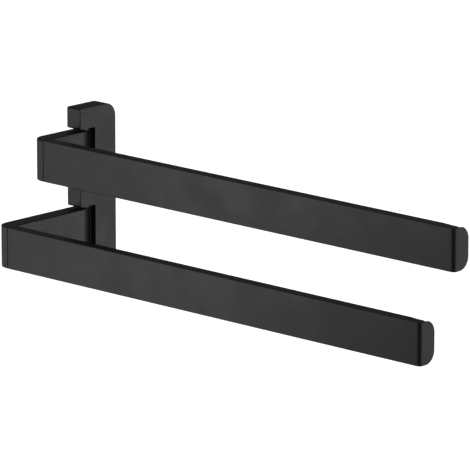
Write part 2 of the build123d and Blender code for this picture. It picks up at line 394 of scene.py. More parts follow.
def stacked(outline: np.ndarray, insets: np.ndarray, levels: np.ndarray) -> Shell:
    """A closed surface through copies of an outline, each with its own inset and level.

    Args:
        outline: Plan in X and Y, of shape (points, 2).
        insets: How far each copy is moved inwards.
        levels: Height of each copy.

    Returns:
        The shell.
    """
    plans = np.stack([inset_outline(outline, amount) for amount in insets])
    heights = np.broadcast_to(levels[:, None, None], plans.shape[:2] + (1,))
    return loft(np.concatenate([plans, heights], axis=-1))


def block(outline: np.ndarray, low: float, high: float, rim: float, steps: int = 4) -> Shell:
    """A slab with this outline in X and Y, and a rounded rim round both flat faces.

    Args:
        outline: Plan of the slab, of shape (points, 2).
        low: Height of its lower face.
        high: Height of its upper face.
        rim: Radius of the rounded rims.
        steps: Arc steps on each rim.

    Returns:
        The shell.
    """
    inset, rise = rim_arc(rim, steps).T
    insets = np.concatenate([inset, inset[::-1]])
    return stacked(outline, insets, np.concatenate([low + rise, high - rise[::-1]]))


def box(low: tuple[float, float, float], high: tuple[float, float, float], rim: float) -> Shell:
    """A block between two corners, with rounded edges.

    Its upright edges are rounded a twentieth more than its rims, which are inset by that
    radius and must not close up on themselves.

    Args:
        low: Lowest X, Y and Z.
        high: Highest X, Y and Z.
        rim: Radius of its edges.

    Returns:
        The shell.
    """
    (left, front, bottom), (right, back, top) = low, high
    corners = np.array([(left, front), (right, front), (right, back), (left, back)])
    outline = rounded_outline(corners, np.full(4, 1.05 * rim), steps=3)
    return block(outline, bottom, top, rim, steps=3)


def through_tool(radius: float, low: float, high: float, flare: float) -> Shell:
    """A cutter for a round bore along Z, widened at both ends to ease the bore's edges.

    Args:
        radius: Radius of the bore.
        low: Height of the face where the bore starts.
        high: Height of the face where the bore ends.
        flare: Size of the chamfer that it leaves on both faces.

    Returns:
        The cutter, which runs past both faces.
    """
    wide = radius + flare + CUTTER_OVERRUN
    heights = [low - CUTTER_OVERRUN, low + flare, high - flare, high + CUTTER_OVERRUN]
    return turned(np.array([wide, radius, radius, wide]), np.array(heights), 64)


def blind_tool(radius: float, face: float, end: float, flare: float, turns: int) -> Shell:
    """A cutter for a round bore up along Z from a face, widened at its mouth.

    Args:
        radius: Radius of the bore.
        face: Height of the face where the bore starts.
        end: Height of its flat end.
        flare: Size of the chamfer that it leaves on the face.
        turns: Steps round the bore.

    Returns:
        The cutter, which starts below the face.
    """
    radii = np.array([radius + flare + CUTTER_OVERRUN, radius, radius])
    return turned(radii, np.array([face - CUTTER_OVERRUN, face + flare, end]), turns)


def hexagon_radius(across_flats: float, turns: int) -> np.ndarray:
    """Distance from the centre to a hexagon's edge at each step round it.

    It is half the width across flats over the cosine of the angle to the nearest flat.

    Args:
        across_flats: Width across flats.
        turns: Steps round the hexagon.

    Returns:
        One distance for each step.
    """
    return across_flats / 2 / np.cos(np.mod(angles_round(turns), np.pi / 3) - np.pi / 6)


# ---------------------------------------------------------------- pieces


def stand(name: str, data: bpy.types.ID) -> bpy.types.Object:
    """Put an object with this data in the scene.

    Args:
        name: Name of the object.
        data: Its mesh, light or camera.

    Returns:
        The new object.
    """
    item = bpy.data.objects.new(name, data)
    bpy.context.scene.collection.objects.link(item)
    return item


def carve(base: bpy.types.Mesh, tools: list[Shell], how: str) -> bpy.types.Mesh:
    """Cut tools out of a mesh, or add them to it, one after the other.

    Args:
        base: The mesh to work on. It is used up.
        tools: Closed shells, in the order in which they are applied.
        how: DIFFERENCE to cut, UNION to add.

    Returns:
        The worked mesh.
    """
    work = stand("work", base)
    for tool in tools:
        helper = stand("tool", tool.mesh("tool"))
        change = work.modifiers.new("carve", "BOOLEAN")
        change.operation = how
        change.solver = "EXACT"
        change.object = helper
        depsgraph = bpy.context.evaluated_depsgraph_get()
        result = bpy.data.meshes.new_from_object(work.evaluated_get(depsgraph))
        work.modifiers.clear()
        used, work.data = work.data, result
        spent = helper.data
        bpy.data.objects.remove(helper)
        bpy.data.meshes.remove(used)
        bpy.data.meshes.remove(spent)
    worked = work.data
    bpy.data.objects.remove(work)
    tidy(worked)
    return worked


def place(
    name: str,
    data: bpy.types.Mesh,
    body: Body,
    finish: bpy.types.Material,
    node: str,
) -> None:
    """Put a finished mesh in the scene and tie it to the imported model.

    Args:
        name: Name of the piece.
        data: Its mesh, in metres.
        body: The body it rides on.
        finish: Its material.
        node: The CAD node that it stands for.
    """
    piece = stand(name, data)
    data.name = name
    data.materials.clear()
    data.materials.append(finish)
    data.shade_smooth()
    data.set_sharp_from_angle(angle=SHARP_ANGLE)
    shading = piece.modifiers.new("flat faces stay flat", "WEIGHTED_NORMAL")
    shading.keep_sharp = True
    shading.weight = 100
    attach(piece, body.value)
    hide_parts(node)
    log.info("%s: %d faces", name, len(data.polygons))


# ---------------------------------------------------------------- finishes


Feed = float | tuple[float, ...] | bpy.types.NodeSocket


@dataclass
class Wiring:
    """A node tree under construction."""

    tree: bpy.types.NodeTree

    def feed(self, node: bpy.types.Node, feeds: dict[str | int, Feed]) -> None:
        """Set or drive some of a node's inputs.

        Args:
            node: The node.
            feeds: For each input, by name or number, its value or the socket that drives it.
        """
        for key, value in feeds.items():
            if isinstance(value, bpy.types.NodeSocket):
                self.tree.links.new(value, node.inputs[key])
            else:
                node.inputs[key].default_value = value

    def add(
        self, kind: str, feeds: dict[str | int, Feed] | None = None, **settings: object
    ) -> bpy.types.Node:
        """Add a node, set its properties and feed its inputs.

        Args:
            kind: Blender's name of the node type.
            feeds: What its inputs get, as for feed.
            **settings: Properties of the node, by name.

        Returns:
            The node.
        """
        node = self.tree.nodes.new(kind)
        for key, value in settings.items():
            setattr(node, key, value)
        self.feed(node, feeds or {})
        return node

    def calculate(self, operation: str, first: Feed, second: Feed) -> bpy.types.NodeSocket:
        """The result of a Math node on two feeds."""
        return self.add("ShaderNodeMath", {0: first, 1: second}, operation=operation).outputs[0]

    def noise(self, vector: Feed, scale: Feed, detail: float) -> bpy.types.NodeSocket:
        """The value of a noise at this vector."""
        feeds = {"Vector": vector, "Scale": scale, "Detail": detail}
        return self.add("ShaderNodeTexNoise", feeds).outputs["Fac"]

    def remapped(self, value: Feed, **ends: float) -> bpy.types.NodeSocket:
        """A value carried from one range to another, between 0 and 1 where no end is given.

        Args:
            value: The value.
            **ends: Any of from_min, from_max, to_min and to_max.

        Returns:
            The socket of the new value.
        """
        feeds = {name.replace("_", " ").title(): end for name, end in ends.items()}
        return self.add("ShaderNodeMapRange", {"Value": value, **feeds}).outputs["Result"]


def new_group(
    name: str, inputs: dict[str, float | None], outputs: tuple[str, ...]
) -> tuple[Wiring, bpy.types.NodeOutputs]:
    """An empty shader node group with its sockets.

    Args:
        name: Name of the group.
        inputs: Default of each number input; None makes a vector input.
        outputs: Names of the number outputs.

    Returns:
        The group's wiring, and the sockets that give its inputs.
    """
    tree = bpy.data.node_groups.new(name, "ShaderNodeTree")
    for key, value in inputs.items():
        kind = "NodeSocketVector" if value is None else "NodeSocketFloat"
        socket = tree.interface.new_socket(key, in_out="INPUT", socket_type=kind)
        if value is not None:
            socket.default_value = value
    for key in outputs:
        tree.interface.new_socket(key, in_out="OUTPUT", socket_type="NodeSocketFloat")
    wiring = Wiring(tree)
    return wiring, wiring.add("NodeGroupInput").outputs


def mottle_group() -> bpy.types.NodeTree:
    """Slow unevenness with finer unevenness on top of it, from 0 to 1.

    The mask is a broad noise plus Fine times a noise of six times the scale, stretched
    between 0.35 and 0.65.

    Returns:
        The group's tree.
    """
    inputs = {"Vector": None, "Scale": 40.0, "Fine": 0.4}
    wiring, given = new_group("Mottle", inputs, ("Mask",))
    broad = wiring.noise(given["Vector"], given["Scale"], 3.0)
    fine_scale = wiring.calculate("MULTIPLY", given["Scale"], 6.0)
    fine = wiring.noise(given["Vector"], fine_scale, 2.0)
    centred = wiring.calculate("SUBTRACT", fine, 0.5)
    total = wiring.calculate("ADD", broad, wiring.calculate("MULTIPLY", centred, given["Fine"]))
    mask = wiring.remapped(total, from_min=0.35, from_max=0.65)
    wiring.add("NodeGroupOutput", {"Mask": mask})
    return wiring.tree


def peel_group() -> bpy.types.NodeTree:
    """The skin of a sprayed or moulded surface, as a height.

    Rounded cells of a smooth Voronoi pattern, less a share of fine noise: the cells are
    the flow marks of the coat and the noise, of seven times their scale, is its grit.

    Returns:
        The group's tree.
    """
    inputs = {"Vector": None, "Cells": 500.0, "Grit": 0.3}
    wiring, given = new_group("Peel", inputs, ("Height",))
    feeds = {"Vector": given["Vector"], "Scale": given["Cells"], "Smoothness": 1.0}
    cells = wiring.add("ShaderNodeTexVoronoi", feeds, feature="SMOOTH_F1")
    grit_scale = wiring.calculate("MULTIPLY", given["Cells"], 7.0)
    grit = wiring.noise(given["Vector"], grit_scale, 2.0)
    share = wiring.calculate("MULTIPLY", grit, given["Grit"])
    height = wiring.calculate("SUBTRACT", cells.outputs["Distance"], share)
    wiring.add("NodeGroupOutput", {"Height": height})
    return wiring.tree


def lines_group() -> bpy.types.NodeTree:
    """Fine parallel tool marks, as a height.

    A noise squeezed by Stretch along X and Y against Z gives long streaks that run round a
    turned part, or along a rolled one after the vector is turned.

    Returns:
        The group's tree.
    """
    inputs = {"Vector": None, "Scale": 900.0, "Stretch": 0.05}
    wiring, given = new_group("Tool lines", inputs, ("Height",))
    feeds = {"X": given["Stretch"], "Y": given["Stretch"], "Z": 1.0}
    squeeze = wiring.add("ShaderNodeCombineXYZ", feeds).outputs[0]
    feeds = {0: given["Vector"], 1: squeeze}
    scaled = wiring.add("ShaderNodeVectorMath", feeds, operation="MULTIPLY").outputs[0]
    wiring.add("NodeGroupOutput", {"Height": wiring.noise(scaled, given["Scale"], 4.0)})
    return wiring.tree


@dataclass
class Effects:
    """The node groups that the finishes share, each built once."""

    mottle: bpy.types.NodeTree = field(default_factory=mottle_group)
    peel: bpy.types.NodeTree = field(default_factory=peel_group)
    lines: bpy.types.NodeTree = field(default_factory=lines_group)


@dataclass(frozen=True)
class Finish(ABC):
    """What every finish has: a name, two tones, a roughness range and a mottle."""

    name: str
    dark: tuple[float, float, float]
    light: tuple[float, float, float]
    smooth: float
    rough: float
    patch_scale: float = 40.0
    patch_fine: float = 0.4
    metallic: float = 0.0
    index: float = 1.45
    relief: float = 0.1
    relief_depth: float = 0.00002

    @abstractmethod
    def texture(
        self, wiring: Wiring, effects: Effects, vector: bpy.types.NodeSocket
    ) -> bpy.types.NodeSocket:
        """The height of the surface's fine texture.

        Args:
            wiring: The material's wiring.
            effects: The shared node groups.
            vector: Place in the mesh.

        Returns:
            The socket of the height.
        """

    def build(self, effects: Effects) -> bpy.types.Material:
        """Make the material: the mottle drives its tones and gloss, the texture its relief.

        Args:
            effects: The shared node groups.

        Returns:
            The material.
        """
        material = bpy.data.materials.new(self.name)
        material.use_nodes = True
        wiring = Wiring(material.node_tree)
        vector = wiring.add("ShaderNodeTexCoord").outputs["Object"]
        feeds = {"Vector": vector, "Scale": self.patch_scale, "Fine": self.patch_fine}
        patches = wiring.add("ShaderNodeGroup", feeds, node_tree=effects.mottle).outputs["Mask"]
        feeds = {"Factor": patches, "A": (*self.dark, 1.0), "B": (*self.light, 1.0)}
        tones = wiring.add("ShaderNodeMix", feeds, data_type="RGBA")
        height = self.texture(wiring, effects, vector)
        feeds = {"Strength": self.relief, "Distance": self.relief_depth, "Height": height}
        bump = wiring.add("ShaderNodeBump", feeds)
        wiring.feed(material.node_tree.nodes["Principled BSDF"], {
            "Metallic": self.metallic,
            "IOR": self.index,
            "Base Color": tones.outputs["Result"],
            "Roughness": wiring.remapped(patches, to_min=self.smooth, to_max=self.rough),
            "Normal": bump.outputs["Normal"],
        })
        return material


@dataclass(frozen=True)
class SprayedFinish(Finish):
    """A powder coat or a moulded skin: mottled tones over a fine orange peel."""

    cells: float = 500.0
    grit: float = 0.3

    def texture(
        self, wiring: Wiring, effects: Effects, vector: bpy.types.NodeSocket
    ) -> bpy.types.NodeSocket:
        """The height of the peel; the arguments are as in Finish."""
        feeds = {"Vector": vector, "Cells": self.cells, "Grit": self.grit}
        return wiring.add("ShaderNodeGroup", feeds, node_tree=effects.peel).outputs["Height"]


@dataclass(frozen=True)
class MachinedFinish(Finish):
    """A turned, ground or rolled metal: mottled tones over fine tool lines."""

    line_scale: float = 900.0
    stretch: float = 0.05
    turn: tuple[float, float, float] = (0.0, 0.0, 0.0)

    def texture(
        self, wiring: Wiring, effects: Effects, vector: bpy.types.NodeSocket
    ) -> bpy.types.NodeSocket:
        """The height of the tool lines.

        Args:
            wiring: The material's wiring.
            effects: The shared node groups.
            vector: Place in the mesh, which is turned so that the lines run the right way.

        Returns:
            The socket of the height.
        """
        turned_frame = wiring.add("ShaderNodeMapping", {"Vector": vector, "Rotation": self.turn})
        feeds = {"Vector": turned_frame.outputs[0], "Scale": self.line_scale, "Stretch": self.stretch}
        return wiring.add("ShaderNodeGroup", feeds, node_tree=effects.lines).outputs["Height"]


class Finishes:
    """The finish of each material slot."""

    def __init__(self) -> None:
        """Build the shared effects and one material for each slot."""
        effects = Effects()
        finishes: dict[Slot, Finish] = {
            Slot.SATIN_BLACK: SprayedFinish(
                "Satin black powder coat", (0.0048, 0.0048, 0.0050), (0.0066, 0.0066, 0.0068),
                0.33, 0.39, patch_scale=26.0, relief=0.12, cells=620.0,
            ),
            Slot.BUSH_POLYMER: SprayedFinish(
                "Moulded acetal", (0.010, 0.010, 0.011), (0.016, 0.016, 0.017),
                0.38, 0.5, patch_scale=160.0, relief=0.15, cells=1500.0, grit=0.5, index=1.48,
            ),
            Slot.WASHER_POLYMER: SprayedFinish(
                "Moulded nylon", (0.014, 0.014, 0.014), (0.022, 0.022, 0.022),
                0.45, 0.6, patch_scale=200.0, relief=0.2, cells=1800.0, grit=0.6, index=1.53,
            ),
            Slot.GROUND_STEEL: MachinedFinish(
                "Ground stainless steel", (0.48, 0.47, 0.46), (0.60, 0.59, 0.58),
                0.18, 0.30, patch_scale=120.0, metallic=1.0, line_scale=2400.0, relief=0.2,
            ),
            Slot.ZINC_PLATE: MachinedFinish(
                "Bright zinc plate", (0.50, 0.53, 0.57), (0.66, 0.66, 0.64),
                0.26, 0.42, patch_scale=150.0, patch_fine=0.8, metallic=1.0,
                line_scale=700.0, stretch=0.15, turn=(0.0, QUARTER_TURN, 0.0), relief=0.2,
            ),
            Slot.BLACK_OXIDE: MachinedFinish(
                "Oiled black oxide", (0.012, 0.012, 0.014), (0.030, 0.029, 0.028),
                0.30, 0.48, patch_scale=300.0, metallic=0.9, line_scale=2000.0, relief=0.25,
            ),
            Slot.SPRING_STEEL: MachinedFinish(
                "Rolled spring steel", (0.33, 0.32, 0.31), (0.45, 0.44, 0.42),
                0.24, 0.36, patch_scale=180.0, metallic=1.0, line_scale=1500.0,
                stretch=0.08, turn=(QUARTER_TURN, 0.0, 0.0), relief=0.2,
            ),
        }
        self.materials = {slot: finish.build(effects) for slot, finish in finishes.items()}

    def of(self, slot: Slot) -> bpy.types.Material:
        """The material of a slot."""
        return self.materials[slot]


# ---------------------------------------------------------------- sub-assemblies


@dataclass
class HingeLine:
    """Where the hinge pin stands, and the sizes that the hinge's parts share."""

    axis_x: float
    axis_y: float
    pin_radius: float = 4.0
    pin_cover: float = 3.6
    pin_chamfer: float = 0.6
    plug_radius: float = 5.5
    plug_length: float = 5.0
    plug_recess: float = 0.3
    plug_socket: float = 5.0
    running_clearance: float = 0.04

    def on_axis(self, shell: Shell, height: float = 0.0) -> Shell:
        """A shell turned about Z, moved onto the hinge's axis."""
        return shell.moved(self.axis_x, self.axis_y, height)

    def washer_section(self, outer: float, low: float, high: float, ease: float) -> np.ndarray:
        """Section of a flat ring that slides on the pin, with its corners cut.

        Args:
            outer: Outer radius.
            low: Height of its underside.
            high: Height of its top.
            ease: Size of the cuts.

        Returns:
            Radius and height of each point, of shape (8, 2).
        """
        inner = self.pin_radius + self.running_clearance
        corners = [(inner, low), (outer, low), (outer, high), (inner, high)]
        return cut_corners(np.array(corners), ease)


@dataclass
class GrubScrew:
    """A headless screw with a hexagon socket; its socket end is at height 0."""

    radius: float
    length: float
    socket: float
    socket_share: float = 0.5
    chamfer_share: float = 0.15
    mouth_ease: float = 0.12
    floor_ease: float = 0.08
    floor_share: float = 0.96
    drill_share: float = 0.55
    drill_depth: float = 0.35
    point_share: float = 0.6

    def shell(self) -> Shell:
        """The screw along Z, with its body above its socket end.

        The profile runs up the socket's hexagon from its floor, over the chamfered end
        face, along the side and over the far end. Between the hexagon and the round rim
        each ring's radius goes straight from one to the other.

        Returns:
            The shell.
        """
        ease = self.chamfer_share * self.radius
        depth = self.socket_share * self.length
        hexagon = hexagon_radius(self.socket, TURN_STEPS)
        rim = np.full(TURN_STEPS, self.radius)
        profile = [
            (self.drill_share * hexagon, depth + self.drill_depth),
            (self.floor_share * hexagon, depth),
            (hexagon, depth - self.floor_ease),
            (hexagon, self.mouth_ease),
            (hexagon + self.mouth_ease, 0.0),
            (rim - ease, 0.0),
            (rim, ease),
            (rim, self.length - ease),
            (rim - ease, self.length),
            (self.point_share * rim, self.length),
        ]
        radii, heights = zip(*profile)
        return turned(np.stack(radii), np.array(heights))


@dataclass
class HingeBody:
    """The cast plate with its three knuckles, the pin and what holds the plate."""

    line: HingeLine
    finishes: Finishes
    end_knuckle: float = 17.4
    notch_height: float = 36.3
    knuckle_depth: float = 16.4
    far_corner: float = 11.0
    knuckle_corner: float = 1.5
    notch_corner: float = 0.5
    rim: float = 0.5
    pocket_side: float = 9.2
    pocket_depth: float = 12.0
    pocket_half_height: float = 64.3
    pocket_corners: tuple[float, float] = (1.5, 8.4)
    pocket_ease: float = 0.4
    ledge: tuple[float, float, float] = (3.5, 50.0, 54.0)
    boss_x: float = 7.0
    boss_side: float = 4.25
    boss_height: float = 3.0
    stiffener_rim: float = 0.3
    stiffener_sunk: float = 0.5
    pin_bore_ease: float = 0.4
    plug_flare: float = 0.3
    set_screw_radius: float = 2.5
    set_screw_socket: float = 2.5
    set_screw_flare: float = 0.25
    lock_screw_radius: float = 2.0
    lock_screw_socket: float = 2.0
    lock_screw_flare: float = 0.2
    screw_recess: float = 0.4
    thick: float = field(init=False)
    near_y: float = field(init=False)
    far_y: float = field(init=False)
    half_height: float = field(init=False)
    bracket_bottom: float = field(init=False)

    def __post_init__(self) -> None:
        """Take the casting's overall sizes and the bracket's lower end from the frame."""
        low, high = node_box("hinge_body")
        self.near_y = low[1]
        self.thick, self.far_y, self.half_height = high
        self.bracket_bottom = node_box("wall_bracket")[0][2]

    def outline(self) -> np.ndarray:
        """Face outline in Y and Z: the plate, with one notch for each arm.

        Returns:
            Points of shape (points, 2), anticlockwise for someone who faces -X.
        """
        wall_y, half = self.near_y + self.knuckle_depth, self.half_height
        outer = half - self.end_knuckle
        inner = outer - self.notch_height
        knuckle, notch = self.knuckle_corner, self.notch_corner
        corners = [(self.near_y, -half, knuckle), (self.far_y, -half, self.far_corner),
                   (self.far_y, half, self.far_corner), (self.near_y, half, knuckle)]
        for top, bottom in ((outer, inner), (-inner, -outer)):
            corners += [(self.near_y, top, knuckle), (wall_y, top, notch),
                        (wall_y, bottom, notch), (self.near_y, bottom, knuckle)]
        table = np.array(corners)
        return rounded_outline(table[:, :2], table[:, 2])

    def pocket_tool(self) -> Shell:
        """The cutter for the hollow behind the plate, flared at its mouth.

        Returns:
            The shell.
        """
        side, half = self.pocket_side, self.pocket_half_height
        ease, deep = self.pocket_ease, self.pocket_depth
        near, far = self.pocket_corners
        corners = np.array([(-side, -half), (side, -half), (side, half), (-side, half)])
        outline = rounded_outline(corners, np.array([near, far, far, near]))
        insets = np.array([-ease - CUTTER_OVERRUN, -ease, 0.0, 0.0, ease / 4, ease])
        depths = np.array([-CUTTER_OVERRUN, 0.0, ease, deep - ease, deep - ease / 4, deep])
        return stacked(outline, insets, depths).hung_on_wall()

    def stiffeners(self) -> list[Shell]:
        """The ledge that hangs on the bracket's hook, and the boss for the set screw.

        Returns:
            Two shells, each let into the walls that it joins.
        """
        start, low, high = self.ledge
        side, end = self.pocket_side + self.stiffener_sunk, self.pocket_depth + self.stiffener_sunk
        ledge = box((start, -side, low), (end, side, high), self.stiffener_rim)
        floor = -self.pocket_half_height
        boss_low = (self.boss_x - self.boss_side, -self.boss_side, floor - self.stiffener_sunk)
        boss_high = (end, self.boss_side, floor + self.boss_height)
        return [ledge, box(boss_low, boss_high, self.stiffener_rim)]

    def bores(self) -> list[Shell]:
        """The cutters for the pin, its plug, the set screw and the lock screw.

        The pin's cutter starts within the wider bore of the plug, and its blind end is
        chamfered.

        Returns:
            The cutters in order.
        """
        line, ease = self.line, self.pin_bore_ease
        low, top = -self.half_height, self.half_height - self.line.pin_cover
        pin = turned(
            np.array([line.pin_radius, line.pin_radius, line.pin_radius - ease]),
            np.array([low + 2.0 * CUTTER_OVERRUN, top, top + ease]), 64,
        )
        plug_end = low + line.plug_recess + line.plug_length
        plug = blind_tool(line.plug_radius, low, plug_end, self.plug_flare, 96)
        boss_top = -self.pocket_half_height + self.boss_height
        set_hole = through_tool(self.set_screw_radius, low, boss_top, self.set_screw_flare)
        lock_end = line.axis_x - line.pin_radius / 2
        lock_hole = blind_tool(self.lock_screw_radius, 0.0, lock_end, self.lock_screw_flare, 48)
        return [
            line.on_axis(pin),
            line.on_axis(plug),
            set_hole.moved(self.boss_x, 0.0),
            lock_hole.laid_along_x().moved(0.0, line.axis_y),
        ]

    def casting(self) -> bpy.types.Mesh:
        """The plate and its knuckles, hollow behind, with its ledge, boss and bores.

        Returns:
            The mesh.
        """
        blank = block(self.outline(), 0.0, self.thick, self.rim, steps=6).hung_on_wall()
        hollow = carve(blank.mesh("casting"), [self.pocket_tool()], "DIFFERENCE")
        return carve(carve(hollow, self.stiffeners(), "UNION"), self.bores(), "DIFFERENCE")

    def build(self) -> None:
        """Make the casting, the pin, its plug and the two grub screws."""
        line, ease = self.line, self.line.pin_chamfer
        self.put("hinge_casting", self.casting(), Slot.SATIN_BLACK, "hinge_body")
        foot = -self.half_height + line.plug_recess
        low, high = foot + line.plug_length, self.half_height - line.pin_cover
        radii = np.full(4, line.pin_radius) - ease * np.array([1.0, 0.0, 0.0, 1.0])
        pin = line.on_axis(turned(radii, np.array([low, low + ease, high - ease, high])))
        self.put("ground_pin", pin.mesh("pin"), Slot.GROUND_STEEL, "hinge_pin")
        plug = GrubScrew(line.plug_radius, line.plug_length, line.plug_socket).shell()
        plug = line.on_axis(plug, foot).mesh("plug")
        self.put("threaded_plug", plug, Slot.BLACK_OXIDE, "pin_end_plug")
        lock_length = line.axis_x - line.pin_radius - self.screw_recess
        lock = GrubScrew(self.lock_screw_radius, lock_length, self.lock_screw_socket).shell()
        lock = lock.laid_along_x().moved(self.screw_recess, line.axis_y).mesh("lock")
        self.put("pin_lock_grub_screw", lock, Slot.BLACK_OXIDE, "pin_lock_screw")
        start = -self.half_height + self.screw_recess
        length = self.bracket_bottom - start
        grip = GrubScrew(self.set_screw_radius, length, self.set_screw_socket, socket_share=0.4)
        grip_mesh = grip.shell().moved(self.boss_x, 0.0, start).mesh("grip")
        self.put("plate_grub_screw", grip_mesh, Slot.BLACK_OXIDE, "body_set_screw")

    def put(self, name: str, data: bpy.types.Mesh, slot: Slot, node: str) -> None:
        """Place one of this sub-assembly's pieces on the wall unit."""
        place(name, data, Body.WALL_UNIT, self.finishes.of(slot), node)


@dataclass
class BarLine:
    """Matching points along a bar's two faces: X, Y and half height, and the edge's lean.

    The lean is the angle of the edge's outward direction from straight up towards +Y. Both
    faces stand upright where no lean is given.
    """

    outer: np.ndarray
    inner: np.ndarray
    outer_lean: np.ndarray | None = None
    inner_lean: np.ndarray | None = None

    def __post_init__(self) -> None:
        """Stand the edges upright where no lean is given."""
        if self.outer_lean is None:
            self.outer_lean = self.inner_lean = np.zeros(len(self.outer))

    @classmethod
    def chained(cls, parts: list["BarLine"]) -> "BarLine":
        """Several stretches of one bar as a single line.

        Args:
            parts: The stretches in order.

        Returns:
            The whole line.
        """
        return cls(
            np.concatenate([part.outer for part in parts]),
            np.concatenate([part.inner for part in parts]),
            np.concatenate([part.outer_lean for part in parts]),
            np.concatenate([part.inner_lean for part in parts]),
        )


def rounded_edge(
    points: np.ndarray, through: np.ndarray, lean: np.ndarray, radius: float
) -> np.ndarray:
    """The rounded upper edge of one face, at each station of a bar.

    Each edge is a quarter circle: a point at the angle a stands back from the edge line by
    radius (1 - sin a) against the lean's direction, and inwards by radius (1 - cos a)
    through the bar.

    Args:
        points: X, Y and half height of the face's edge line, of shape (stations, 3).
        through: Unit direction through the bar in X and Y, of shape (stations, 2).
        lean: Lean of the edge at each station.
        radius: Radius of the edge.

    Returns:
        Points from the face to the rim, of shape (stations, 5, 3).
    """
    back, deep = rim_arc(radius, 4).T
    x = points[:, :1] + through[:, :1] * deep
    y = points[:, 1:2] - np.sin(lean)[:, None] * back + through[:, 1:] * deep
    z = points[:, 2:] - np.cos(lean)[:, None] * back
    return np.stack([x, y, z], axis=-1)


